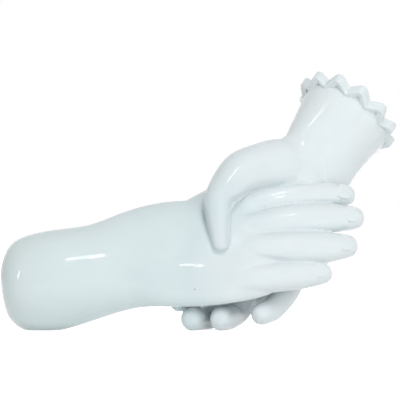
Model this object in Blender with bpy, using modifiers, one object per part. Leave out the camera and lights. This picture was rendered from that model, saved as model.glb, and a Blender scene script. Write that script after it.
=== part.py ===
# Handshake sculpture in opaline glass, one solid piece: a plain right hand clasped by a slim
# right hand with a ruffled cuff. The plain arm points along +X, its back faces -Y, and the
# piece rests on the plain arm's underside and the slim hand's fingertips at Z = 0.
import math

import bmesh
import bpy
from mathutils import Matrix, Vector

for old in list(bpy.data.objects):
    bpy.data.objects.remove(old, do_unlink=True)

MM = 0.001

# Where each hand lies: the middle of its palm in millimetres from the middle of the piece,
# then the aim of its fingers above +X, their lean away from -Y and the roll of its back
PLAIN_PALM_AT = (0.0, 0.0, 58.3)
PLAIN_AIM_LEAN_ROLL = (0.0, 0.0, -27.0)
SLIM_PALM_AT = (93.6, 45.2, 132.4)
SLIM_AIM_LEAN_ROLL = (238.0, -15.0, 162.0)

# Radius of the slim arm's end, where its ruffle stands
CUFF_RADIUS = 36.6

# The arms as stations: along the fingers, toward the thumb, out of the back, half of the
# breadth, half of the thickness (all in millimetres) and the twist about the arm in degrees
PLAIN_ARM = (
    (-151.0, -23.4, -11.9, 10.0, 9.5, 27.0),
    (-149.2, -23.2, -11.6, 21.5, 19.5, 27.0),
    (-143.0, -23.0, -11.4, 31.5, 28.0, 27.0),
    (-132.0, -21.5, -10.7, 37.3, 32.5, 27.0),
    (-112.3, -18.5, -9.4, 39.0, 33.0, 27.0),
    (-93.6, -14.8, -7.5, 37.3, 29.6, 24.0),
    (-78.0, -11.9, -5.2, 35.6, 25.7, 19.0),
    (-62.4, -7.8, -2.2, 36.6, 21.8, 11.0),
    (-46.8, -3.9, 0.7, 40.1, 18.7, 5.0),
    (-31.2, -1.9, 2.5, 43.6, 17.2, 0.0),
    (-15.6, -1.1, 3.0, 44.8, 15.8, 0.0),
    (0.0, -0.7, 3.1, 45.3, 15.0, 0.0),
    (19.5, 2.1, 3.7, 45.8, 14.0, 0.0),
    (39.0, 5.5, 4.0, 45.0, 13.2, 0.0),
    (52.0, 8.7, 3.2, 42.5, 10.8, 0.0),
    (62.0, 9.5, 2.4, 37.0, 6.5, 0.0),
)
SLIM_ARM = (
    (80.0, -9.8, -3.2, 24.0, 5.5, 0.0),
    (72.6, -9.4, -3.0, 28.1, 8.6, 0.0),
    (48.0, -6.5, -2.2, 30.4, 12.5, 0.0),
    (20.5, -2.1, -0.8, 32.0, 16.4, 0.0),
    (-2.7, 0.1, -0.7, 32.4, 22.6, 0.0),
    (-21.0, -1.3, 2.1, CUFF_RADIUS * 0.93, CUFF_RADIUS * 0.79, 0.0),
    (-34.5, -2.7, 4.7, CUFF_RADIUS * 0.99, CUFF_RADIUS * 0.90, 0.0),
    (-43.0, -3.9, 6.1, CUFF_RADIUS * 1.02, CUFF_RADIUS * 0.97, 0.0),
    (-47.5, -4.4, 6.9, CUFF_RADIUS * 1.01, CUFF_RADIUS * 0.96, 0.0),
    (-51.0, -4.8, 7.5, CUFF_RADIUS * 0.90, CUFF_RADIUS * 0.86, 0.0),
    (-52.8, -5.0, 7.9, CUFF_RADIUS * 0.60, CUFF_RADIUS * 0.57, 0.0),
    (-53.4, -5.1, 8.0, CUFF_RADIUS * 0.25, CUFF_RADIUS * 0.25, 0.0),
)

# Each digit: where it starts in its palm, then its bones as length in millimetres, swing
# toward the thumb and curl into the palm in degrees, then its girth at each joint
PLAIN_DIGITS = {
    "index": {
        "root": (17.2, 32.5, -1.0),
        "bones": ((21.6, 17.0, -19.5), (30.8, 15.5, 0.0), (29.4, 7.5, 7.5), (17.5, 4.0, 13.0)),
        "girth": (17.0, 21.0, 21.4, 20.4, 17.6),
    },
    "middle": {
        "root": (17.2, 15.0, -1.0),
        "bones": ((23.9, 11.0, -21.5), (33.3, 10.5, 0.0), (30.0, 6.5, 6.0), (17.0, 6.0, 12.0)),
        "girth": (18.0, 24.5, 25.2, 24.2, 19.0),
    },
    "ring": {
        "root": (14.0, -1.6, -1.0),
        "bones": ((23.0, 6.5, -22.5), (33.6, 1.5, 0.0), (28.3, 3.0, 6.5), (16.0, 10.0, 12.0)),
        "girth": (18.0, 25.0, 26.4, 25.6, 19.4),
    },
    "little": {
        "root": (0.0, -19.6, -1.0),
        "bones": ((26.6, -14.0, -14.0), (28.2, 5.5, 0.0), (25.3, 7.5, 5.5), (15.5, 10.0, 8.0)),
        "girth": (19.0, 25.0, 24.2, 22.0, 17.8),
    },
    "thumb": {
        "root": (-50.7, 5.9, 1.3),
        "bones": ((43.9, 27.0, 0.0), (43.1, 42.0, 14.0), (30.3, 27.0, 17.0), (21.0, -16.0, 21.0)),
        "girth": (30.0, 30.0, 24.0, 20.0, 16.0),
    },
}
SLIM_DIGITS = {
    "index": {
        "root": (61.5, 13.8, 8.2),
        "bones": ((26.6, -1.0, -9.0), (39.3, 2.0, -9.0), (24.0, 24.0, 15.0), (15.0, 39.0, 27.0)),
        "girth": (16.0, 18.5, 18.0, 17.0, 15.0),
    },
    "middle": {
        "root": (62.3, 1.0, 4.3),
        "bones": ((32.9, -5.0, -13.0), (59.0, 1.0, -14.0), (24.3, 58.0, 52.0), (16.4, 54.0, 49.0)),
        "girth": (16.0, 19.5, 19.5, 19.5, 19.0),
    },
    "ring": {
        "root": (61.9, -11.0, 0.3),
        "bones": ((30.1, -7.0, -9.0), (46.6, -1.0, -12.0), (22.1, 46.0, 49.0), (17.3, 50.0, 48.0)),
        "girth": (16.0, 19.0, 18.5, 19.0, 19.0),
    },
    "little": {
        "root": (59.5, -21.7, -5.6),
        "bones": ((22.6, -24.0, 8.0), (27.3, -4.0, 3.0), (22.5, 20.0, 27.0), (13.0, 40.0, 27.0)),
        "girth": (16.0, 18.5, 18.5, 18.0, 17.4),
    },
    "thumb": {
        "root": (2.0, -3.9, 1.0),
        "bones": ((36.7, 53.0, 6.0), (37.2, 45.0, 7.0), (32.7, 10.0, 13.0), (33.0, -32.0, 15.0)),
        "girth": (30.0, 43.5, 35.8, 24.4, 14.6),
    },
}

# Soft mounds, each in its hand's space: where its middle is and half of its length, breadth
# and thickness, in millimetres
PLAIN_MOUNDS = {
    "palm_against_slim_fingers": ((42.0, -3.0, -12.0), (34.0, 26.0, 10.0)),
    "web_at_thumb": ((36.0, 40.0, -2.0), (26.0, 12.0, 12.0)),
}
SLIM_MOUNDS = {
    "heel_under_plain_fingers": ((50.0, -18.0, -16.0), (36.0, 17.0, 14.5)),
    "between_curled_fingers": ((108.0, -23.6, -1.0), (14.0, 10.0, 8.0)),
    "wrist_into_thumb": ((8.2, 26.5, -3.0), (13.0, 9.0, 10.0)),
    "ball_of_thumb": ((15.5, 6.0, -5.5), (24.0, 21.0, 15.5)),
}

# How thick the fingers are against their breadth
PLAIN_FLATNESS = 0.87
SLIM_FLATNESS = 0.94

# Where hot glass ran smooth: the middle in the hand's space and the reach, in millimetres,
# then how many rounds of smoothing
PLAIN_MELTED = {
    "index_knuckle": ((34.0, 26.2, 14.8), 16.0, 24),
    "middle_knuckle": ((38.0, 8.0, 16.0), 15.0, 24),
    "ring_knuckle": ((32.0, -12.7, 15.5), 12.0, 20),
    "thumb_side": ((-8.0, 33.0, 12.5), 17.0, 30),
    "thumb_on_slim_hand": ((50.0, 68.0, -14.0), 20.0, 8),
}
SLIM_MELTED = {
    "thumb_root": ((14.3, 14.8, -19.6), 26.0, 60),
    "thumb_palm": ((18.5, 5.0, -20.0), 13.0, 45),
    "index_tip": ((155.9, 30.3, 7.9), 10.0, 8),
    "thumb_notch": ((6.0, 30.0, -1.0), 17.0, 40),
}

# The ruffle: a ribbon that winds out and up, then in and down, round the slim arm's end
PLEATS = 12
PLEAT_TURN = 19.0
RUFFLE_STANDS_OFF = 0.5
RUFFLE_OUT = 3.0
RUFFLE_RISE = 3.6
RUFFLE_UP = 2.2
RIBBON_HEIGHT = 8.0
RIBBON_THICKNESS = 5.0
RIBBON_EDGE = 1.6
RUFFLE_AT = (-41.6, -2.7, 6.1)
CUFF_TILT = (-0.977, -0.115, 0.177)

# The nails of the plain hand: length, share of the fingertip's breadth, thickness at the
# middle, how far they stand out and how steeply they slope to the tip
NAIL_LENGTH = 9.6
NAIL_SHARE = 0.66
NAIL_THICKNESS = 3.2
NAIL_PROUD = 0.45
NAIL_SLOPE = 9.0

# How finely the form is drawn
RING_POINTS = 12
STRIP_POINTS = 10 * PLEATS
NAIL_ROUND = 14
GRAIN = 1.3 * MM
SMOOTHING = 9
FACETS = 8600

# Catmull-Clark pulls a ring of points inward by this share of its radius
HOLD = 6 / (4 + 2 * math.cos(2 * math.pi / RING_POINTS))


def hand_space(at, aim_lean_roll):
    """The hand's own space: x along its fingers, y toward its thumb, z out of its back."""
    aim, lean, roll = (math.radians(a) for a in aim_lean_roll)
    along = Vector((math.cos(aim) * math.cos(lean), math.sin(lean), math.sin(aim) * math.cos(lean)))
    level = Vector((-math.sin(aim), 0, math.cos(aim)))
    level = (level - along * level.dot(along)).normalized()
    across = level * math.cos(roll) + along.cross(level) * math.sin(roll)
    back = along.cross(across)
    turn = Matrix((along, across, back)).transposed().to_4x4()
    return Matrix.Translation(Vector(at) * MM) @ turn


def ring(form, at, axis, across, half_breadth, half_thickness):
    """An oval ring of points round an axis; the result is its edges."""
    across = (across - axis * across.dot(axis)).normalized()
    back = axis.cross(across)
    place = Matrix((across * half_breadth * HOLD, back * half_thickness * HOLD, axis)).transposed()
    place = Matrix.Translation(at) @ place.to_4x4()
    made = bmesh.ops.create_circle(form, segments=RING_POINTS, radius=1.0, matrix=place)
    return list({edge for point in made["verts"] for edge in point.link_edges})


def loft(form, rings):
    """A closed skin through a row of rings."""
    for first, second in zip(rings, rings[1:]):
        bmesh.ops.bridge_loops(form, edges=first + second)
    for end in (rings[0], rings[-1]):
        bmesh.ops.contextual_create(form, geom=end)


def limb(form, space, stations):
    places = [Vector(s[:3]) * MM for s in stations]
    rings = []
    for number, station in enumerate(stations):
        before = places[max(number - 1, 0)]
        after = places[min(number + 1, len(places) - 1)]
        axis = (after - before).normalized()
        across = Matrix.Rotation(math.radians(station[5]), 3, axis) @ Vector((0, 1, 0))
        turned = space.to_3x3()
        rings.append(
            ring(
                form,
                space @ places[number],
                turned @ axis,
                turned @ across,
                station[3] * MM,
                station[4] * MM,
            )
        )
    loft(form, rings)


def joints_of(digit):
    """The joints of a digit in its hand's space, and the direction of each bone."""
    places = [Vector(digit["root"]) * MM]
    ways = []
    for length, swing, curl in digit["bones"]:
        swing, curl = math.radians(swing), math.radians(curl)
        flat = math.cos(curl)
        way = Vector((flat * math.cos(swing), flat * math.sin(swing), -math.sin(curl)))
        ways.append(way)
        places.append(places[-1] + way * length * MM)
    return places, ways


def finger(form, space, digit, flatness):
    places, ways = joints_of(digit)
    radii = [g * MM / 2 for g in digit["girth"]]
    turned = space.to_3x3()
    rings = []

    def add(at, axis, radius):
        side = Vector((0, 0, 1)).cross(axis)
        rings.append(ring(form, space @ at, turned @ axis, turned @ side, radius, radius * flatness))

    add(places[0] - ways[0] * radii[0] * 0.5, ways[0], radii[0] * 0.75)
    for number, way in enumerate(ways):
        axis = way if number == 0 else (way + ways[number - 1]).normalized()
        add(places[number], axis, radii[number])
        middle = (places[number] + places[number + 1]) / 2
        add(middle, way, (radii[number] + radii[number + 1]) / 2 * 0.98)
    tip = places[-1]
    add(tip, ways[-1], radii[-1])
    add(tip + ways[-1] * radii[-1] * 0.66, ways[-1], radii[-1] * 0.84)
    add(tip + ways[-1] * radii[-1] * 1.04, ways[-1], radii[-1] * 0.44)
    loft(form, rings)


def nail(form, space, digit, flatness):
    """A nail as a thin lens let into the back of the fingertip."""
    places, ways = joints_of(digit)
    radius = digit["girth"][-1] / 2
    side = Vector((0, 0, 1)).cross(ways[-1]).normalized()
    back = ways[-1].cross(side)
    out = radius * flatness * 0.97 + NAIL_PROUD - NAIL_THICKNESS / 2
    at = places[-1] + (ways[-1] * radius * 0.18 + back * out) * MM
    turn = Matrix((ways[-1], side, back)).transposed()
    tilt = Matrix.Rotation(math.radians(NAIL_SLOPE), 3, side)
    size = (NAIL_LENGTH / 2, radius * NAIL_SHARE, NAIL_THICKNESS / 2)
    lens = Matrix.Diagonal((*(s * MM for s in size), 1))
    place = space @ Matrix.Translation(at) @ (tilt @ turn).to_4x4() @ lens
    fine = {"u_segments": round(NAIL_ROUND), "v_segments": round(NAIL_ROUND / 2)}
    bmesh.ops.create_uvsphere(form, **fine, radius=1.0, matrix=place)


def swelling(form, space, at, size):
    """A soft mound, as of a muscle."""
    place = space @ Matrix.Translation(Vector(at) * MM) @ Matrix.Diagonal((*(s * MM for s in size), 1))
    bmesh.ops.create_uvsphere(form, u_segments=12, v_segments=8, radius=1.0, matrix=place)


def ruffle(form, space):
    """The ribbon: a closed strip whose radius runs in and out once for each pleat."""
    turned = space.to_3x3()
    axis = turned @ Vector(CUFF_TILT).normalized()
    near = turned @ Vector((0, 0, -1))
    near = (near - axis * near.dot(axis)).normalized()
    left = near.cross(axis)
    if left.dot(turned @ Vector((0, 1, 0))) < 0:
        left = -left
    foot = space @ (Vector(RUFFLE_AT) * MM)
    made = bmesh.ops.create_circle(form, segments=STRIP_POINTS, radius=1.0)["verts"]
    edges = list({edge for point in made for edge in point.link_edges})
    for number, point in enumerate(made):
        turn = 2 * math.pi * number / STRIP_POINTS
        wave = math.cos(PLEATS * (turn - math.radians(PLEAT_TURN)))
        wave = math.asin(0.94 * wave) / math.asin(0.94)
        out = (CUFF_RADIUS + RUFFLE_STANDS_OFF + RUFFLE_OUT * wave) * MM
        up = (RUFFLE_RISE + RUFFLE_UP * wave - RIBBON_HEIGHT / 2) * MM
        point.co = foot + axis * up + out * (near * math.cos(turn) + left * math.sin(turn))
    lifted = bmesh.ops.extrude_edge_only(form, edges=edges)["geom"]
    points = [g for g in lifted if isinstance(g, bmesh.types.BMVert)]
    bmesh.ops.translate(form, verts=points, vec=axis * RIBBON_HEIGHT * MM)


def melt(form, centre, reach, rounds):
    """Smooths the skin round a place, most at its middle."""
    for step in range(rounds):
        near = reach * (1 - 0.6 * step / rounds)
        soft = [point for point in form.verts if (point.co - centre).length < near]
        ways = {"use_axis_x": True, "use_axis_y": True, "use_axis_z": True}
        bmesh.ops.smooth_vert(form, verts=soft, factor=0.5, **ways)


def piece(name, form, modifiers):
    bmesh.ops.recalc_face_normals(form, faces=form.faces)
    mesh = bpy.data.meshes.new(name)
    form.to_mesh(mesh)
    form.free()
    made = bpy.data.objects.new(name, mesh)
    bpy.context.scene.collection.objects.link(made)
    for kind, settings in modifiers:
        modifier = made.modifiers.new(kind.title(), kind)
        for key, value in settings.items():
            setattr(modifier, key, value)
    return made


def finished(made):
    """The mesh that a piece's modifiers give."""
    graph = bpy.context.evaluated_depsgraph_get()
    return bpy.data.meshes.new_from_object(made.evaluated_get(graph))


# The two hands as closed skins that run into one another, then cast as one
hands = bmesh.new()
plain = hand_space(PLAIN_PALM_AT, PLAIN_AIM_LEAN_ROLL)
slim = hand_space(SLIM_PALM_AT, SLIM_AIM_LEAN_ROLL)
for space, arm, digits, flatness, mounds in (
    (plain, PLAIN_ARM, PLAIN_DIGITS, PLAIN_FLATNESS, PLAIN_MOUNDS),
    (slim, SLIM_ARM, SLIM_DIGITS, SLIM_FLATNESS, SLIM_MOUNDS),
):
    limb(hands, space, arm)
    for digit in digits.values():
        finger(hands, space, digit, flatness)
    for at, size in mounds.values():
        swelling(hands, space, at, size)
rounded = ("SUBSURF", {"levels": 2, "render_levels": 2})
cast = ("REMESH", {"mode": "VOXEL", "voxel_size": GRAIN})
eased = ("SMOOTH", {"factor": 0.5, "iterations": round(SMOOTHING)})
hands = piece("hands", hands, [rounded, cast, eased])

hands_mesh = finished(hands)
bpy.data.objects.remove(hands, do_unlink=True)
skin = bmesh.new()
skin.from_mesh(hands_mesh)
for space, melted in ((plain, PLAIN_MELTED), (slim, SLIM_MELTED)):
    for at, reach, rounds in melted.values():
        melt(skin, space @ (Vector(at) * MM), reach * MM, rounds)
skin.to_mesh(hands_mesh)
skin.free()

# What cuts the piece or is fused to it, kept out of the picture
helpers = bpy.data.collections.new("helpers")
bpy.context.scene.collection.children.link(helpers)
helpers.hide_render = True


def helper(name, form, modifiers=()):
    made = piece(name, form, modifiers)
    bpy.context.scene.collection.objects.unlink(made)
    helpers.objects.link(made)
    made.hide_render = True
    made.display_type = "WIRE"
    return made


ribbon = bmesh.new()
ruffle(ribbon, slim)
thickened = ("SOLIDIFY", {"thickness": RIBBON_THICKNESS * MM, "offset": 0.0})
blunted = ("BEVEL", {"width": RIBBON_EDGE * MM, "segments": 1, "angle_limit": math.radians(60)})
ribbon = helper("ribbon", ribbon, [thickened, blunted])

nails = bmesh.new()
for digit in PLAIN_DIGITS.values():
    nail(nails, plain, digit, PLAIN_FLATNESS)
nails = helper("nails", nails)

# The ground plane that the underside is flattened to
ground = bmesh.new()
slab = Matrix.Translation((0, 0, -25 * MM)) @ Matrix.Diagonal((600 * MM, 500 * MM, 50 * MM, 1))
bmesh.ops.create_cube(ground, size=1.0, matrix=slab)
ground = helper("ground", ground)

# The ribbon is fused to the cuff, and the underside is flattened
sculpture = bpy.data.objects.new("handshake_sculpture", hands_mesh)
family = bpy.data.collections.new("glass_handshake_sculpture")
bpy.context.scene.collection.children.link(family)
family.objects.link(sculpture)

full = len(hands_mesh.polygons) * 2
thin = sculpture.modifiers.new("Facets", "DECIMATE")
thin.ratio = FACETS / full
for name, operation, other in (
    ("Ruffle", "UNION", ribbon),
    ("Nails", "UNION", nails),
    ("Flat", "DIFFERENCE", ground),
):
    joined = sculpture.modifiers.new(name, "BOOLEAN")
    joined.operation = operation
    joined.solver = "EXACT"
    joined.object = other

# The piece stands over the middle of its own footprint
points = [point.co for point in finished(sculpture).vertices]
middle_x = (min(p.x for p in points) + max(p.x for p in points)) / 2
middle_y = (min(p.y for p in points) + max(p.y for p in points)) / 2
for thing in (sculpture, ribbon, nails, ground):
    thing.location = (-middle_x, -middle_y, 0)

for face in hands_mesh.polygons:
    face.use_smooth = True

opaline = bpy.data.materials.new("opaline_glass")
opaline.use_nodes = True
shader = opaline.node_tree.nodes["Principled BSDF"]
shader.inputs["Base Color"].default_value = (0.71, 0.86, 0.88, 1.0)
shader.inputs["Roughness"].default_value = 0.08
shader.inputs["IOR"].default_value = 1.5
hands_mesh.materials.append(opaline)
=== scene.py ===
import math

import bmesh
import bpy
import numpy as np
from mathutils import Matrix, Vector


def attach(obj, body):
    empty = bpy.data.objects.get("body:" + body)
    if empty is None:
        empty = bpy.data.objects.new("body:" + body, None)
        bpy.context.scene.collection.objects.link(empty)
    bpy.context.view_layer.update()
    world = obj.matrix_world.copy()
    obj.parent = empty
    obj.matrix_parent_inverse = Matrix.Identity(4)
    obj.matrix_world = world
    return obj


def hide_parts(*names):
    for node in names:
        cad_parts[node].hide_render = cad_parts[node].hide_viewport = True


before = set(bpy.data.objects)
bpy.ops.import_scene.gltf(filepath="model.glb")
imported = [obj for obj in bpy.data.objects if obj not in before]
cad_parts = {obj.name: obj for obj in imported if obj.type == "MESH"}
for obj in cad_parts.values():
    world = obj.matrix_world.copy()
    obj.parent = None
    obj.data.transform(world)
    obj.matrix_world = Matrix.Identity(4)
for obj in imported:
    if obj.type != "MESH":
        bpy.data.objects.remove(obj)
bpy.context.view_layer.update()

MM = 0.001
# The middle of the footprint, in millimetres from where the hands are laid out
FOOTPRINT_MIDDLE = (1.05, 35.63)
CENTRED = Matrix.Translation((*(-side * MM for side in FOOTPRINT_MIDDLE), 0))


# The plain hand and its forearm: a right hand held out level, with a rounded stump for an
# arm's end. On the real piece it is solid opaline glass, and its surface is fire-polished.
PLAIN_PALM_AT = (0.0, 0.0, 58.3)
PLAIN_AIM_LEAN_ROLL = (0.0, 0.0, -27.0)

# Stations of an arm: along the fingers, toward the thumb, out of the back, half of the
# breadth, half of the thickness (millimetres) and the twist about the arm (degrees)
PLAIN_ARM = (
    (-151.0, -23.4, -11.9, 10.0, 9.5, 27.0),
    (-149.2, -23.2, -11.6, 21.5, 19.5, 27.0),
    (-143.0, -23.0, -11.4, 31.5, 28.0, 27.0),
    (-132.0, -21.5, -10.7, 37.3, 32.5, 27.0),
    (-112.3, -18.5, -9.4, 39.0, 33.0, 27.0),
    (-93.6, -14.8, -7.5, 37.3, 29.6, 24.0),
    (-78.0, -11.9, -5.2, 35.6, 25.7, 19.0),
    (-62.4, -7.8, -2.2, 36.6, 21.8, 11.0),
    (-46.8, -3.9, 0.7, 40.1, 18.7, 5.0),
    (-31.2, -1.9, 2.5, 43.6, 17.2, 0.0),
    (-15.6, -1.1, 3.0, 44.8, 15.8, 0.0),
    (0.0, -0.7, 3.1, 45.3, 15.0, 0.0),
    (19.5, 2.1, 3.7, 45.8, 14.0, 0.0),
    (39.0, 5.5, 4.0, 45.0, 13.2, 0.0),
    (52.0, 8.7, 3.2, 42.5, 10.8, 0.0),
    (62.0, 9.5, 2.4, 37.0, 6.5, 0.0),
)

# Each digit: where it starts in its palm, then its bones as length in millimetres, swing
# toward the thumb and curl into the palm in degrees, then its girth at each joint
PLAIN_DIGITS = {
    "index": {
        "root": (17.2, 32.5, -1.0),
        "bones": ((21.6, 17.0, -19.5), (30.8, 15.5, 0.0), (29.4, 7.5, 7.5), (17.5, 4.0, 13.0)),
        "girth": (17.0, 21.0, 21.4, 20.4, 17.6),
    },
    "middle": {
        "root": (17.2, 15.0, -1.0),
        "bones": ((23.9, 11.0, -21.5), (33.3, 10.5, 0.0), (30.0, 6.5, 6.0), (17.0, 6.0, 12.0)),
        "girth": (18.0, 24.5, 25.2, 24.2, 19.0),
    },
    "ring": {
        "root": (14.0, -1.6, -1.0),
        "bones": ((23.0, 6.5, -22.5), (33.6, 1.5, 0.0), (28.3, 3.0, 6.5), (16.0, 10.0, 12.0)),
        "girth": (18.0, 25.0, 26.4, 25.6, 19.4),
    },
    "little": {
        "root": (0.0, -19.6, -1.0),
        "bones": ((26.6, -14.0, -14.0), (28.2, 5.5, 0.0), (25.3, 7.5, 5.5), (15.5, 10.0, 8.0)),
        "girth": (19.0, 25.0, 24.2, 22.0, 17.8),
    },
    "thumb": {
        "root": (-50.7, 5.9, 1.3),
        "bones": ((43.9, 27.0, 0.0), (43.1, 42.0, 14.0), (30.3, 27.0, 17.0), (21.0, -16.0, 21.0)),
        "girth": (30.0, 30.0, 24.0, 20.0, 16.0),
    },
}

# Soft mounds: where the middle is and half of the length, breadth and thickness (millimetres)
PLAIN_MOUNDS = {
    "palm_against_slim_fingers": ((42.0, -3.0, -12.0), (34.0, 26.0, 10.0)),
    "web_at_thumb": ((36.0, 40.0, -2.0), (26.0, 12.0, 12.0)),
}
PLAIN_FLATNESS = 0.87

RING_POINTS = 12
# Catmull-Clark pulls a ring of points inward by this share of its radius
HOLD = 6 / (4 + 2 * math.cos(2 * math.pi / RING_POINTS))


def hand_space(at, aim_lean_roll):
    """The hand's own space: x along its fingers, y toward its thumb, z out of its back."""
    aim, lean, roll = (math.radians(a) for a in aim_lean_roll)
    along = Vector((math.cos(aim) * math.cos(lean), math.sin(lean), math.sin(aim) * math.cos(lean)))
    level = Vector((-math.sin(aim), 0, math.cos(aim)))
    level = (level - along * level.dot(along)).normalized()
    across = level * math.cos(roll) + along.cross(level) * math.sin(roll)
    back = along.cross(across)
    turn = Matrix((along, across, back)).transposed().to_4x4()
    return Matrix.Translation(Vector(at) * MM) @ turn


def ring(form, at, axis, across, half_breadth, half_thickness):
    """An oval ring of points round an axis; the result is its edges."""
    across = (across - axis * across.dot(axis)).normalized()
    back = axis.cross(across)
    place = Matrix((across * half_breadth * HOLD, back * half_thickness * HOLD, axis)).transposed()
    place = Matrix.Translation(at) @ place.to_4x4()
    made = bmesh.ops.create_circle(form, segments=RING_POINTS, radius=1.0, matrix=place)
    return list({edge for point in made["verts"] for edge in point.link_edges})


def loft(form, rings):
    """A closed skin through a row of rings."""
    for first, second in zip(rings, rings[1:]):
        bmesh.ops.bridge_loops(form, edges=first + second)
    for end in (rings[0], rings[-1]):
        bmesh.ops.contextual_create(form, geom=end)


def limb(form, space, stations):
    """An arm and its palm, lofted through their stations."""
    places = [Vector(s[:3]) * MM for s in stations]
    rings = []
    for number, station in enumerate(stations):
        before = places[max(number - 1, 0)]
        after = places[min(number + 1, len(places) - 1)]
        axis = (after - before).normalized()
        across = Matrix.Rotation(math.radians(station[5]), 3, axis) @ Vector((0, 1, 0))
        turned = space.to_3x3()
        rings.append(
            ring(
                form,
                space @ places[number],
                turned @ axis,
                turned @ across,
                station[3] * MM,
                station[4] * MM,
            )
        )
    loft(form, rings)


def joints_of(digit):
    """The joints of a digit in its hand's space, and the direction of each bone."""
    places = [Vector(digit["root"]) * MM]
    ways = []
    for length, swing, curl in digit["bones"]:
        swing, curl = math.radians(swing), math.radians(curl)
        flat = math.cos(curl)
        way = Vector((flat * math.cos(swing), flat * math.sin(swing), -math.sin(curl)))
        ways.append(way)
        places.append(places[-1] + way * length * MM)
    return places, ways


# The rings before and past a digit's bones: how far out, in radii, and the share of the
# radius there. Between two joints the digit is a little slimmer than at them.
ROOT_RING = (0.5, 0.75)
TIP_RINGS = ((0.66, 0.84), (1.04, 0.44))
BONE_WAIST = 0.98


def finger(form, space, digit, flatness):
    """A digit, lofted through its joints and the middles of its bones to a rounded tip."""
    places, ways = joints_of(digit)
    radii = [g * MM / 2 for g in digit["girth"]]
    turned = space.to_3x3()
    rings = []

    def add(at, axis, radius):
        """A ring round the digit at a place."""
        side = Vector((0, 0, 1)).cross(axis)
        thickness = radius * flatness
        rings.append(ring(form, space @ at, turned @ axis, turned @ side, radius, thickness))

    out, share = ROOT_RING
    add(places[0] - ways[0] * radii[0] * out, ways[0], radii[0] * share)
    for number, way in enumerate(ways):
        axis = way if number == 0 else (way + ways[number - 1]).normalized()
        add(places[number], axis, radii[number])
        middle = (places[number] + places[number + 1]) / 2
        add(middle, way, (radii[number] + radii[number + 1]) / 2 * BONE_WAIST)
    tip = places[-1]
    add(tip, ways[-1], radii[-1])
    for out, share in TIP_RINGS:
        add(tip + ways[-1] * radii[-1] * out, ways[-1], radii[-1] * share)
    loft(form, rings)


def swelling(form, space, at, size):
    """A soft mound, as of a muscle."""
    scaled = Matrix.Diagonal((*(s * MM for s in size), 1))
    place = space @ Matrix.Translation(Vector(at) * MM) @ scaled
    bmesh.ops.create_uvsphere(form, u_segments=12, v_segments=8, radius=1.0, matrix=place)


hands = bmesh.new()
plain = CENTRED @ hand_space(PLAIN_PALM_AT, PLAIN_AIM_LEAN_ROLL)
limb(hands, plain, PLAIN_ARM)
for digit in PLAIN_DIGITS.values():
    finger(hands, plain, digit, PLAIN_FLATNESS)
for at, size in PLAIN_MOUNDS.values():
    swelling(hands, plain, at, size)


# The slim hand: a second right hand that comes down from behind, with its thumb over the
# plain hand's back and its fingers curled under the edge. It is the same glass, worked hot.
SLIM_PALM_AT = (93.6, 45.2, 132.4)
SLIM_AIM_LEAN_ROLL = (238.0, -15.0, 162.0)
CUFF_RADIUS = 36.6
SLIM_ARM = (
    (80.0, -9.8, -3.2, 24.0, 5.5, 0.0),
    (72.6, -9.4, -3.0, 28.1, 8.6, 0.0),
    (48.0, -6.5, -2.2, 30.4, 12.5, 0.0),
    (20.5, -2.1, -0.8, 32.0, 16.4, 0.0),
    (-2.7, 0.1, -0.7, 32.4, 22.6, 0.0),
    (-21.0, -1.3, 2.1, CUFF_RADIUS * 0.93, CUFF_RADIUS * 0.79, 0.0),
    (-34.5, -2.7, 4.7, CUFF_RADIUS * 0.99, CUFF_RADIUS * 0.90, 0.0),
    (-43.0, -3.9, 6.1, CUFF_RADIUS * 1.02, CUFF_RADIUS * 0.97, 0.0),
    (-47.5, -4.4, 6.9, CUFF_RADIUS * 1.01, CUFF_RADIUS * 0.96, 0.0),
    (-51.0, -4.8, 7.5, CUFF_RADIUS * 0.90, CUFF_RADIUS * 0.86, 0.0),
    (-52.8, -5.0, 7.9, CUFF_RADIUS * 0.60, CUFF_RADIUS * 0.57, 0.0),
    (-53.4, -5.1, 8.0, CUFF_RADIUS * 0.25, CUFF_RADIUS * 0.25, 0.0),
)
SLIM_DIGITS = {
    "index": {
        "root": (61.5, 13.8, 8.2),
        "bones": ((26.6, -1.0, -9.0), (39.3, 2.0, -9.0), (24.0, 24.0, 15.0), (15.0, 39.0, 27.0)),
        "girth": (16.0, 18.5, 18.0, 17.0, 15.0),
    },
    "middle": {
        "root": (62.3, 1.0, 4.3),
        "bones": ((32.9, -5.0, -13.0), (59.0, 1.0, -14.0), (24.3, 58.0, 52.0), (16.4, 54.0, 49.0)),
        "girth": (16.0, 19.5, 19.5, 19.5, 19.0),
    },
    "ring": {
        "root": (61.9, -11.0, 0.3),
        "bones": ((30.1, -7.0, -9.0), (46.6, -1.0, -12.0), (22.1, 46.0, 49.0), (17.3, 50.0, 48.0)),
        "girth": (16.0, 19.0, 18.5, 19.0, 19.0),
    },
    "little": {
        "root": (59.5, -21.7, -5.6),
        "bones": ((22.6, -24.0, 8.0), (27.3, -4.0, 3.0), (22.5, 20.0, 27.0), (13.0, 40.0, 27.0)),
        "girth": (16.0, 18.5, 18.5, 18.0, 17.4),
    },
    "thumb": {
        "root": (2.0, -3.9, 1.0),
        "bones": ((36.7, 53.0, 6.0), (37.2, 45.0, 7.0), (32.7, 10.0, 13.0), (33.0, -32.0, 15.0)),
        "girth": (30.0, 43.5, 35.8, 24.4, 14.6),
    },
}
SLIM_MOUNDS = {
    "heel_under_plain_fingers": ((50.0, -18.0, -16.0), (36.0, 17.0, 14.5)),
    "between_curled_fingers": ((108.0, -23.6, -1.0), (14.0, 10.0, 8.0)),
    "wrist_into_thumb": ((8.2, 26.5, -3.0), (13.0, 9.0, 10.0)),
    "ball_of_thumb": ((15.5, 6.0, -5.5), (24.0, 21.0, 15.5)),
}
SLIM_FLATNESS = 0.94

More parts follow.
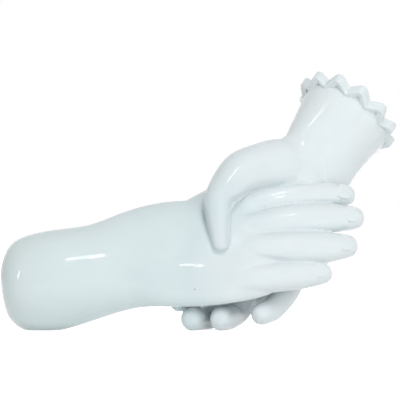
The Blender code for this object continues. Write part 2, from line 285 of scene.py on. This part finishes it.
slim = CENTRED @ hand_space(SLIM_PALM_AT, SLIM_AIM_LEAN_ROLL)
limb(hands, slim, SLIM_ARM)
for digit in SLIM_DIGITS.values():
    finger(hands, slim, digit, SLIM_FLATNESS)
for at, size in SLIM_MOUNDS.values():
    swelling(hands, slim, at, size)
# A little glass closes the gap behind the slim hand's curled fingers. Its place is where
# the piece stands, and not in a hand's space.
GAP_FILLED = ((46.6, -6.0, 22.6), (5.0, 10.0, 5.0))
swelling(hands, Matrix.Identity(4), *GAP_FILLED)


# The two hands cast as one skin: the glass was melted together, so no seam is left where
# they touch, and the creases between the fingers run out softly over the back of the hand.
GRAIN = 1.0 * MM
SMOOTHING = 4
MOST_TRIANGLES = 160000

# Where hot glass ran smooth: the middle in the hand's space and the reach, in millimetres,
# then how many rounds of smoothing
PLAIN_MELTED = {
    "index_knuckle": ((34.0, 26.2, 14.8), 16.0, 24),
    "middle_knuckle": ((38.0, 8.0, 16.0), 15.0, 24),
    "ring_knuckle": ((32.0, -12.7, 15.5), 12.0, 20),
    "thumb_side": ((-8.0, 33.0, 12.5), 17.0, 30),
    "thumb_on_slim_hand": ((50.0, 68.0, -14.0), 20.0, 8),
}
SLIM_MELTED = {
    "thumb_root": ((14.3, 14.8, -19.6), 26.0, 60),
    "thumb_palm": ((18.5, 5.0, -20.0), 13.0, 45),
    "index_tip": ((155.9, 30.3, 7.9), 10.0, 8),
    "thumb_notch": ((6.0, 30.0, -1.0), 17.0, 40),
}


# How much the reach narrows from the first round to the last
MELT_NARROWS = 0.6


def melt(form, centre, reach, rounds):
    """Smooths the skin round a place, most at its middle."""
    for step in range(rounds):
        near = reach * (1 - MELT_NARROWS * step / rounds)
        soft = [point for point in form.verts if (point.co - centre).length < near]
        ways = {"use_axis_x": True, "use_axis_y": True, "use_axis_z": True}
        bmesh.ops.smooth_vert(form, verts=soft, factor=0.5, **ways)


def piece(name, form, modifiers=()):
    """A mesh object from a form, with its modifiers."""
    bmesh.ops.recalc_face_normals(form, faces=form.faces)
    mesh = bpy.data.meshes.new(name)
    form.to_mesh(mesh)
    form.free()
    made = bpy.data.objects.new(name, mesh)
    bpy.context.scene.collection.objects.link(made)
    for kind, settings in modifiers:
        modifier = made.modifiers.new(kind.title(), kind)
        for key, value in settings.items():
            setattr(modifier, key, value)
    return made


def settle(made):
    """Turns what a piece's modifiers show into its own mesh."""
    graph = bpy.context.evaluated_depsgraph_get()
    mesh = bpy.data.meshes.new_from_object(made.evaluated_get(graph))
    made.modifiers.clear()
    made.data = mesh


glass = piece(
    "clasped_hands",
    hands,
    [
        ("SUBSURF", {"levels": 2, "render_levels": 2}),
        ("REMESH", {"mode": "VOXEL", "voxel_size": GRAIN}),
        ("SMOOTH", {"factor": 0.5, "iterations": SMOOTHING}),
    ],
)
settle(glass)
skin = bmesh.new()
skin.from_mesh(glass.data)
for space, melted in ((plain, PLAIN_MELTED), (slim, SLIM_MELTED)):
    for at, reach, rounds in melted.values():
        melt(skin, space @ (Vector(at) * MM), reach * MM, rounds)
skin.to_mesh(glass.data)
skin.free()


# The creases: on the real piece drawn and pressed with a tool while the glass was soft.
# What stands out from a softened copy is first heightened, up to a limit.
CARVING = 1.4
CARVING_LIMIT = 1.1 * MM
CARVING_SOFTNESS = 14

# Then come lines over the glass: their points, depth and half breadth (millimetres)
CREASES = {
    "index_finger_under_palm": (
        ((47.6, -28.8, 109.1), (57.7, -26.5, 110.6), (77.2, -19.6, 113.0), (88.0, -14.0, 113.3)),
        2.2,
        1.4,
    ),
    "index_root": (
        ((24.0, -47.5, 96.5), (30.5, -41.5, 102.1), (38.2, -34.7, 106.4), (47.6, -28.8, 109.1)),
        2.8,
        1.4,
    ),
    "web_corner": (
        ((23.3, -48.5, 93.0), (24.0, -47.5, 96.5), (25.2, -46.2, 99.6), (28.0, -44.0, 101.0)),
        3.0,
        1.6,
    ),
    "ring_to_little": (((38.0, -54.2, 57.5), (53.3, -52.1, 55.1), (68.6, -50.7, 53.6)), 1.7, 1.4),
    "index_to_middle": (((33.6, -37.3, 88.7), (43.6, -35.1, 91.4), (53.7, -32.5, 93.7)), 0.9, 1.6),
    "middle_to_ring": (((45.7, -46.2, 73.8), (61.1, -45.5, 74.5), (76.5, -42.9, 75.3)), 0.9, 1.4),
    "thumb_outside": (
        (
            (2.2, -27.0, 98.0),
            (3.2, -34.5, 92.1),
            (4.8, -43.0, 83.0),
            (7.2, -52.0, 73.8),
            (9.3, -53.9, 64.0),
        ),
        1.8,
        1.3,
    ),
    "thumb_inside": (
        ((23.1, -49.2, 90.7), (21.9, -51.9, 83.0), (21.5, -53.6, 75.4), (20.8, -55.7, 66.3)),
        1.6,
        1.2,
    ),
    "thumb_tip": (
        ((9.3, -53.9, 64.0), (10.8, -54.3, 60.6), (15.0, -55.2, 59.3), (19.4, -54.4, 60.8)),
        1.6,
        1.2,
    ),
}
# A line marks only skin that faces the front and lies this near to it in depth. It deepens
# from its ends over a quarter of its run, counted from a tenth outside them.
CREASE_FACING = 0.2
CREASE_REACH = 14 * MM
CREASE_OVERRUN = 0.1
CREASE_FADE = 4
CREASE_FINISH = 3

# Where the glass ran smoothest: the middle and the reach (millimetres), then the rounds
EASED = {
    "little_finger_root": ((29.0, -56.0, 49.0), 15.0, 150),
    "little_finger_side": ((24.0, -55.0, 37.0), 15.0, 120),
    "slim_wrist": ((81.0, -9.0, 144.5), 14.0, 150),
    "forearm": ((-90.0, -61.0, 56.0), 32.0, 200),
}


def points_of(mesh, what):
    """The places or the normals of a mesh's points, as rows of three."""
    held = np.empty(len(mesh.vertices) * 3)
    getattr(mesh, what).foreach_get("co" if what == "vertices" else "vector", held)
    return held.reshape(-1, 3)


def ease(made, spots):
    """Smooths the skin round each spot, most at its middle."""
    places = points_of(made.data, "vertices")
    for name, (at, reach, rounds) in spots.items():
        off = np.linalg.norm(places - np.array(at) * MM, axis=1) / (reach * MM)
        group = made.vertex_groups.new(name=name)
        for index in np.flatnonzero(off < 1):
            group.add([int(index)], float(1 - off[index] ** 2), "REPLACE")
        smooth = made.modifiers.new(name, "SMOOTH")
        smooth.factor = 0.5
        smooth.iterations = rounds
        smooth.vertex_group = name
    settle(made)
    made.vertex_groups.clear()


def press(mesh, path, depth, breadth):
    """Pushes the skin back along a line, deepest at its middle."""
    places = points_of(mesh, "vertices")
    facing = points_of(mesh, "vertex_normals")[:, 1] < CREASE_FACING
    deepest = np.zeros(len(places))
    steps = [Vector(point) * MM for point in path]
    for number, (start, end) in enumerate(zip(steps, steps[1:])):
        start, end = np.array(start), np.array(end)
        way = (end - start)[[0, 2]]
        off = places[:, [0, 2]] - start[[0, 2]]
        share = np.clip(off @ way / (way @ way), 0, 1)
        near = start + share[:, None] * (end - start)
        aside = np.linalg.norm((places - near)[:, [0, 2]], axis=1) / (breadth * MM)
        run = (number + share) / (len(steps) - 1)
        ends = np.minimum(run + CREASE_OVERRUN, 1 + CREASE_OVERRUN - run)
        fade = np.clip(CREASE_FADE * ends, 0, 1)
        cut = np.exp(-aside * aside) * fade
        cut[(~facing) | (np.abs(places[:, 1] - near[:, 1]) > CREASE_REACH)] = 0
        deepest = np.maximum(deepest, cut)
    places[:, 1] += deepest * depth * MM
    mesh.vertices.foreach_set("co", places.ravel())
    mesh.update()


ease(glass, EASED)
softened = bpy.data.objects.new("softened", glass.data)
bpy.context.scene.collection.objects.link(softened)
soft = softened.modifiers.new("Smooth", "SMOOTH")
soft.factor = 0.5
soft.iterations = CARVING_SOFTNESS
carved = points_of(glass.data, "vertices")
graph = bpy.context.evaluated_depsgraph_get()
relief = carved - points_of(softened.evaluated_get(graph).data, "vertices")
carved += CARVING * np.clip(relief, -CARVING_LIMIT, CARVING_LIMIT)
bpy.data.objects.remove(softened, do_unlink=True)
glass.data.vertices.foreach_set("co", carved.ravel())
glass.data.update()
for path, depth, breadth in CREASES.values():
    press(glass.data, path, depth, breadth)
finished = glass.modifiers.new("Finished", "SMOOTH")
finished.factor = 0.5
finished.iterations = CREASE_FINISH
thinned = glass.modifiers.new("Thinned", "DECIMATE")
thinned.ratio = MOST_TRIANGLES / (2 * len(glass.data.polygons))
settle(glass)


# The nails of the plain hand: thin lenses of glass let into the backs of the fingertips,
# on the real piece pressed in with a tool while the glass was soft. Sizes are millimetres,
# the slope is in degrees, and shares are of the fingertip's radius.
NAIL_LENGTH = 12.6
NAIL_SHARE = 0.72
NAIL_THICKNESS = 3.2
NAIL_PROUD = 0.2
NAIL_SLOPE = 9.0
NAIL_BACK = 0.1
NAIL_SEAT = 0.97
NAIL_ROUND = 48
# A power below 1 squares the lens's outline
NAIL_SQUARE = 0.72


def nail(form, space, digit, flatness):
    """A nail as a thin, squarish lens let into the back of the fingertip."""
    places, ways = joints_of(digit)
    radius = digit["girth"][-1] / 2
    side = Vector((0, 0, 1)).cross(ways[-1]).normalized()
    back = ways[-1].cross(side)
    out = radius * flatness * NAIL_SEAT + NAIL_PROUD - NAIL_THICKNESS / 2
    at = places[-1] + (back * out - ways[-1] * radius * NAIL_BACK) * MM
    turn = Matrix((ways[-1], side, back)).transposed()
    tilt = Matrix.Rotation(math.radians(NAIL_SLOPE), 3, side)
    size = (NAIL_LENGTH / 2, radius * NAIL_SHARE, NAIL_THICKNESS / 2)
    lens = Matrix.Diagonal((*(s * MM for s in size), 1))
    place = space @ Matrix.Translation(at) @ (tilt @ turn).to_4x4() @ lens
    fine = {"u_segments": NAIL_ROUND, "v_segments": NAIL_ROUND // 2}
    for point in bmesh.ops.create_uvsphere(form, **fine, radius=1.0)["verts"]:
        for axis in (0, 1):
            share = point.co[axis]
            point.co[axis] = math.copysign(abs(share) ** NAIL_SQUARE, share)
        point.co = place @ point.co


nails = bmesh.new()
for digit in PLAIN_DIGITS.values():
    nail(nails, plain, digit, PLAIN_FLATNESS)
nails = piece("nails", nails)


# The ruffle: a ribbon of hot glass, pinched into pleats as it was laid round the slim
# wrist's end and fused to it. It winds out and up, then in and down (millimetres, degrees).
PLEATS = 12
PLEAT_TURN = 19.0
RUFFLE_STANDS_OFF = 0.5
RUFFLE_OUT = 3.0
RUFFLE_RISE = 3.6
RUFFLE_UP = 2.2
RIBBON_HEIGHT = 8.0
RIBBON_THICKNESS = 5.0
RUFFLE_AT = (-41.6, -2.7, 6.1)
CUFF_TILT = (-0.977, -0.115, 0.177)
STRIP_POINTS = 20 * PLEATS
# Nearer to 1 sharpens the folds
PLEAT_SHARPNESS = 0.94
RIBBON_GRAIN = 0.75 * MM
RIBBON_SMOOTHING = 9
# What the remesh and the smoothing take off is added first
RIBBON_ALLOWANCE = 1.15


def ruffle(form, space):
    """The ribbon: a closed strip whose radius runs in and out once for each pleat."""
    turned = space.to_3x3()
    axis = turned @ Vector(CUFF_TILT).normalized()
    near = turned @ Vector((0, 0, -1))
    near = (near - axis * near.dot(axis)).normalized()
    left = near.cross(axis)
    if left.dot(turned @ Vector((0, 1, 0))) < 0:
        left = -left
    foot = space @ (Vector(RUFFLE_AT) * MM)
    made = bmesh.ops.create_circle(form, segments=STRIP_POINTS, radius=1.0)["verts"]
    edges = list({edge for point in made for edge in point.link_edges})
    for number, point in enumerate(made):
        turn = 2 * math.pi * number / STRIP_POINTS
        wave = math.cos(PLEATS * (turn - math.radians(PLEAT_TURN)))
        wave = math.asin(PLEAT_SHARPNESS * wave) / math.asin(PLEAT_SHARPNESS)
        out = (CUFF_RADIUS + RUFFLE_STANDS_OFF + RUFFLE_OUT * wave) * MM
        up = (RUFFLE_RISE + RUFFLE_UP * wave - RIBBON_HEIGHT / 2) * MM
        point.co = foot + axis * up + out * (near * math.cos(turn) + left * math.sin(turn))
    lifted = bmesh.ops.extrude_edge_only(form, edges=edges)["geom"]
    points = [g for g in lifted if isinstance(g, bmesh.types.BMVert)]
    bmesh.ops.translate(form, verts=points, vec=axis * RIBBON_HEIGHT * MM)


ribbon = bmesh.new()
ruffle(ribbon, slim)
thickness = RIBBON_ALLOWANCE * RIBBON_THICKNESS * MM
ribbon = piece(
    "ribbon",
    ribbon,
    [
        ("SOLIDIFY", {"thickness": thickness, "offset": 0.0, "use_even_offset": True}),
        ("REMESH", {"mode": "VOXEL", "voxel_size": RIBBON_GRAIN}),
        ("SMOOTH", {"factor": 0.5, "iterations": RIBBON_SMOOTHING}),
    ],
)

# The plane that the piece rests on, ground flat into its underside
SLAB = (600.0, 500.0, 50.0)
ground = bmesh.new()
slab = Matrix.Translation((0, 0, -SLAB[2] / 2 * MM)) @ Matrix.Diagonal((*(s * MM for s in SLAB), 1))
bmesh.ops.create_cube(ground, size=1.0, matrix=slab)
ground = piece("ground", ground)

for name, operation, other in (
    ("Ruffle", "UNION", ribbon),
    ("Nails", "UNION", nails),
    ("Flat", "DIFFERENCE", ground),
):
    joined = glass.modifiers.new(name, "BOOLEAN")
    joined.operation = operation
    joined.solver = "MANIFOLD"
    joined.object = other
settle(glass)
for helper in (ribbon, nails, ground):
    bpy.data.objects.remove(helper, do_unlink=True)

for face in glass.data.polygons:
    face.use_smooth = True

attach(glass, "root")
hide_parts("handshake_sculpture")


# Opaline, or milk glass: pale aqua glass made cloudy with bone ash or fluoride, and left
# fire-polished. Light sinks in a few millimetres, so it looks soft under a wet gloss.
def linear(hex_colour):
    """An sRGB hex colour as linear RGBA."""
    parts = [int(hex_colour[i : i + 2], 16) / 255 for i in (1, 3, 5)]
    return (*(c / 12.92 if c <= 0.04045 else ((c + 0.055) / 1.055) ** 2.4 for c in parts), 1.0)


def node(tree, kind, settings=None, values=None, links=None):
    """Adds a node, sets its properties and sockets, and links what feeds it."""
    made = tree.nodes.new(kind)
    for key, value in (settings or {}).items():
        setattr(made, key, value)
    for key, value in (values or {}).items():
        made.inputs[key].default_value = value
    for key, source in (links or {}).items():
        tree.links.new(source, made.inputs[key])
    return made


opaline = bpy.data.materials.new("opaline_glass_fire_polished")
opaline.use_nodes = True
tree = opaline.node_tree
surface = tree.nodes["Principled BSDF"]
where = node(tree, "ShaderNodeTexCoord")
body = where.outputs["Object"]
along = node(tree, "ShaderNodeSeparateXYZ", links={"Vector": body}).outputs["X"]
clouds = node(
    tree, "ShaderNodeTexNoise", values={"Scale": 16.0, "Detail": 3.0}, links={"Vector": body}
).outputs["Fac"]
# The tint runs from end to end (metres), and the clouds shift it by this share in all
TINT_RUN = (-0.16, 0.15)
CLOUDINESS = 0.5
run = node(
    tree,
    "ShaderNodeMapRange",
    values={"From Min": TINT_RUN[0], "From Max": TINT_RUN[1]},
    links={"Value": along},
).outputs["Result"]
drift = node(
    tree,
    "ShaderNodeMath",
    {"operation": "MULTIPLY_ADD"},
    {1: CLOUDINESS, 2: -CLOUDINESS / 2},
    {0: clouds},
).outputs[0]
mixed = node(tree, "ShaderNodeMath", {"operation": "ADD"}, links={0: run, 1: drift}).outputs[0]
tint = node(tree, "ShaderNodeValToRGB", links={"Fac": mixed})
# From the stump to the fingertips: the share of the way, and the colour there
TINTS = (
    (0.05, "#d3dfe0"),
    (0.33, "#d5e2e4"),
    (0.47, "#d0dde0"),
    (0.70, "#dde5e8"),
    (0.90, "#dee6e8"),
)
while len(tint.color_ramp.elements) < len(TINTS):
    tint.color_ramp.elements.new(0.5)
for stop, (place, colour) in zip(tint.color_ramp.elements, TINTS):
    stop.position = place
    stop.color = linear(colour)

# A pinhole's shade painted as a dark spot on the back of the hand, and three small dark
# spots painted beside the index finger's nail: where each one is and its radius (millimetres)
PAINTED_DARK_SPOTS = (
    (-4.0, -63.1, 31.7, 0.62),
    (106.6, -20.2, 102.2, 0.45),
    (108.9, -19.0, 99.8, 0.55),
    (111.4, -16.5, 97.5, 0.4),
)
# The colour of the pinhole's painted shade and of the other painted dark spots
PAINTED_SPOT_COLOUR = "#7d8c8e"
# How strong a painted spot is at its middle, and where it begins and ends to fade, in radii
PAINTED_SPOT_STRENGTH = 0.75
PAINTED_SPOT_EDGE = (0.5, 1.3)
shade = tint.outputs["Color"]
# Each dark spot is painted over the tint; the pinhole's one is painted shade, not a cut hole
for *at, radius in PAINTED_DARK_SPOTS:
    off = node(
        tree,
        "ShaderNodeVectorMath",
        {"operation": "DISTANCE"},
        {1: tuple(c * MM for c in at)},
        {0: body},
    ).outputs["Value"]
    painted_spot = node(
        tree,
        "ShaderNodeMapRange",
        values={
            "From Min": PAINTED_SPOT_EDGE[0] * radius * MM,
            "From Max": PAINTED_SPOT_EDGE[1] * radius * MM,
            "To Min": PAINTED_SPOT_STRENGTH,
            "To Max": 0.0,
        },
        links={"Value": off},
    ).outputs["Result"]
    shade = node(
        tree,
        "ShaderNodeMix",
        {"data_type": "RGBA"},
        {7: linear(PAINTED_SPOT_COLOUR)},
        {0: painted_spot, 6: shade},
    ).outputs[2]
tree.links.new(shade, surface.inputs["Base Color"])
# Wet gloss over a soft depth, in which red light travels least far
for socket, value in (
    ("Roughness", 0.06),
    ("IOR", 1.5),
    ("Subsurface Weight", 0.25),
    ("Subsurface Radius", (0.7, 1.0, 1.0)),
    ("Subsurface Scale", 0.002),
):
    surface.inputs[socket].default_value = value
# The skin has faint waves, like that of any glass worked by hand
waves = node(
    tree, "ShaderNodeTexNoise", values={"Scale": 75.0, "Detail": 2.0}, links={"Vector": body}
).outputs["Fac"]
ripple = node(
    tree, "ShaderNodeBump", values={"Strength": 0.04, "Distance": 0.0012}, links={"Height": waves}
)
tree.links.new(ripple.outputs["Normal"], surface.inputs["Normal"])
glass.data.materials.clear()
glass.data.materials.append(opaline)


# The studio: a plain white floor and backdrop, which the camera and the gloss see as white
# and which still take the piece's soft shadow.
def seen_directly(tree):
    """1 for rays from the camera and in the gloss or the glass, 0 for those that light."""
    path = node(tree, "ShaderNodeLightPath")
    seen = path.outputs["Is Camera Ray"]
    for kind in ("Is Glossy Ray", "Is Transmission Ray"):
        links = {0: seen, 1: path.outputs[kind]}
        seen = node(tree, "ShaderNodeMath", {"operation": "MAXIMUM"}, links=links).outputs[0]
    return seen


def white_stage(name, lift):
    """White paper that looks lit by as much more as the lift."""
    stage = bpy.data.materials.new(name)
    stage.use_nodes = True
    tree = stage.node_tree
    cloth = tree.nodes["Principled BSDF"]
    cloth.inputs["Base Color"].default_value = linear("#f4f4f4")
    cloth.inputs["Roughness"].default_value = 0.9
    cloth.inputs["Specular IOR Level"].default_value = 0.0
    seen = seen_directly(tree)
    glow = node(tree, "ShaderNodeMath", {"operation": "MULTIPLY"}, {1: lift}, {0: seen}).outputs[0]
    tree.links.new(glow, cloth.inputs["Emission Strength"])
    cloth.inputs["Emission Color"].default_value = (1, 1, 1, 1)
    return stage


FLOOR_RADIUS = 4.0
# Half a millimetre below the piece, so that no two faces share a plane
FLOOR_LEVEL = -0.0005
PAPER_LIFT = 0.8
floor = bmesh.new()
bmesh.ops.create_circle(floor, cap_ends=True, segments=64, radius=FLOOR_RADIUS)
bmesh.ops.translate(floor, verts=floor.verts, vec=(0, 0, FLOOR_LEVEL))
floor = piece("studio_floor", floor)
floor.data.materials.append(white_stage("white_paper_sweep", PAPER_LIFT))

world = bpy.data.worlds.new("studio")
bpy.context.scene.world = world
world.use_nodes = True
tree = world.node_tree
room = tree.nodes["Background"]
room.inputs["Color"].default_value = (1, 1, 1, 1)
ROOM_LIGHT = 0.46
level = node(
    tree,
    "ShaderNodeMapRange",
    values={"To Min": ROOM_LIGHT, "To Max": 1.0},
    links={"Value": seen_directly(tree)},
).outputs["Result"]
tree.links.new(level, room.inputs["Strength"])

# Soft lamps, all aimed at one place: name, where from (metres), size (metres) and strength
# (watts), and whether the lamp's shape shows in the gloss
LAMPS_AIM = (0.0, 0.0, 0.09)
LAMPS = (
    ("key_softbox", (0.30, -1.60, 1.37), (0.20, 0.20), 1.5, False),
    ("left_window", (-1.5, -1.45, 0.70), (0.16, 0.6), 1.8, True),
    ("top_fill", (0.4, -1.2, 1.6), (0.8, 0.8), 8.6, False),
    ("right_fill", (0.55, -1.8, 0.75), (1.2, 1.0), 3.4, False),
    ("low_fill", (0.35, -1.6, 0.14), (1.6, 0.2), 6.8, False),
    ("back_fill", (-0.3, 1.9, 0.8), (1.4, 1.0), 8.0, False),
)


def lamp(name, at, towards, size, power):
    """A rectangular lamp aimed at a place."""
    made = bpy.data.lights.new(name, "AREA")
    made.shape = "RECTANGLE"
    made.size, made.size_y = size
    made.energy = power
    held = bpy.data.objects.new(name, made)
    bpy.context.scene.collection.objects.link(held)
    held.location = at
    held.rotation_mode = "QUATERNION"
    held.rotation_quaternion = (Vector(towards) - Vector(at)).to_track_quat("-Z", "Y")
    held.visible_camera = False
    return held


for name, at, size, power, shows in LAMPS:
    lamp(name, at, LAMPS_AIM, size, power).visible_glossy = shows

# Highlights, each from a small lamp nearby, masked down to its spot: the spot
# (millimetres), the lamp's azimuth and elevation (degrees), its distance, breadth, height
# and reach round the spot (millimetres), and how bright it looks
GLINTS = {
    "forearm": ((-89.0, -60.0, 56.0), (14.5, 40.4), 500.0, (29.0, 56.0), 46.0, 15.0),
    "small_knuckle": ((-5.0, -60.0, 49.0), (5.2, 37.6), 500.0, (10.0, 24.0), 18.0, 22.0),
    "slim_wrist": ((81.0, -12.0, 144.0), (8.0, 47.5), 500.0, (110.0, 110.0), 85.0, 11.0),
    "cuff": ((106.0, -1.5, 190.0), (-41.0, 45.0), 500.0, (60.0, 120.0), 60.0, 10.0),
    "index_finger": ((54.5, -29.5, 104.5), (14.0, 20.0), 500.0, (34.0, 80.0), 55.0, 16.0),
}
for name, (spot, (azimuth, elevation), away, size, reach, glow) in GLINTS.items():
    azimuth, elevation = math.radians(azimuth), math.radians(elevation)
    level = math.cos(elevation)
    way = Vector((math.sin(azimuth) * level, -math.cos(azimuth) * level, math.sin(elevation)))
    spot = Vector(spot) * MM
    breadth, height = (side * MM for side in size)
    spread = math.atan(reach / away)
    # The mask gathers the light by 3 over the square of its half angle
    power = glow * math.pi * breadth * height * spread**2 / 3
    held = lamp(name + "_glint", spot + way * away * MM, spot, (breadth, height), power)
    held.data.spread = 2 * spread
    held.visible_diffuse = False


# The camera: level with the middle of the piece, far off, as the photograph was taken
VIEW_WIDTH = 0.312
CAMERA_AWAY = 2.6
CAMERA_HEIGHT = 0.0998
SENSOR_WIDTH = 36.0
camera = bpy.data.cameras.new("camera")
camera.sensor_width = SENSOR_WIDTH
camera.lens = SENSOR_WIDTH * CAMERA_AWAY / VIEW_WIDTH
camera.clip_end = 50.0
held = bpy.data.objects.new("camera", camera)
bpy.context.scene.collection.objects.link(held)
held.location = (0.0, -CAMERA_AWAY, CAMERA_HEIGHT)
held.rotation_euler = (math.radians(90), 0, 0)
bpy.context.scene.camera = held
bpy.context.scene.view_settings.view_transform = "Standard"
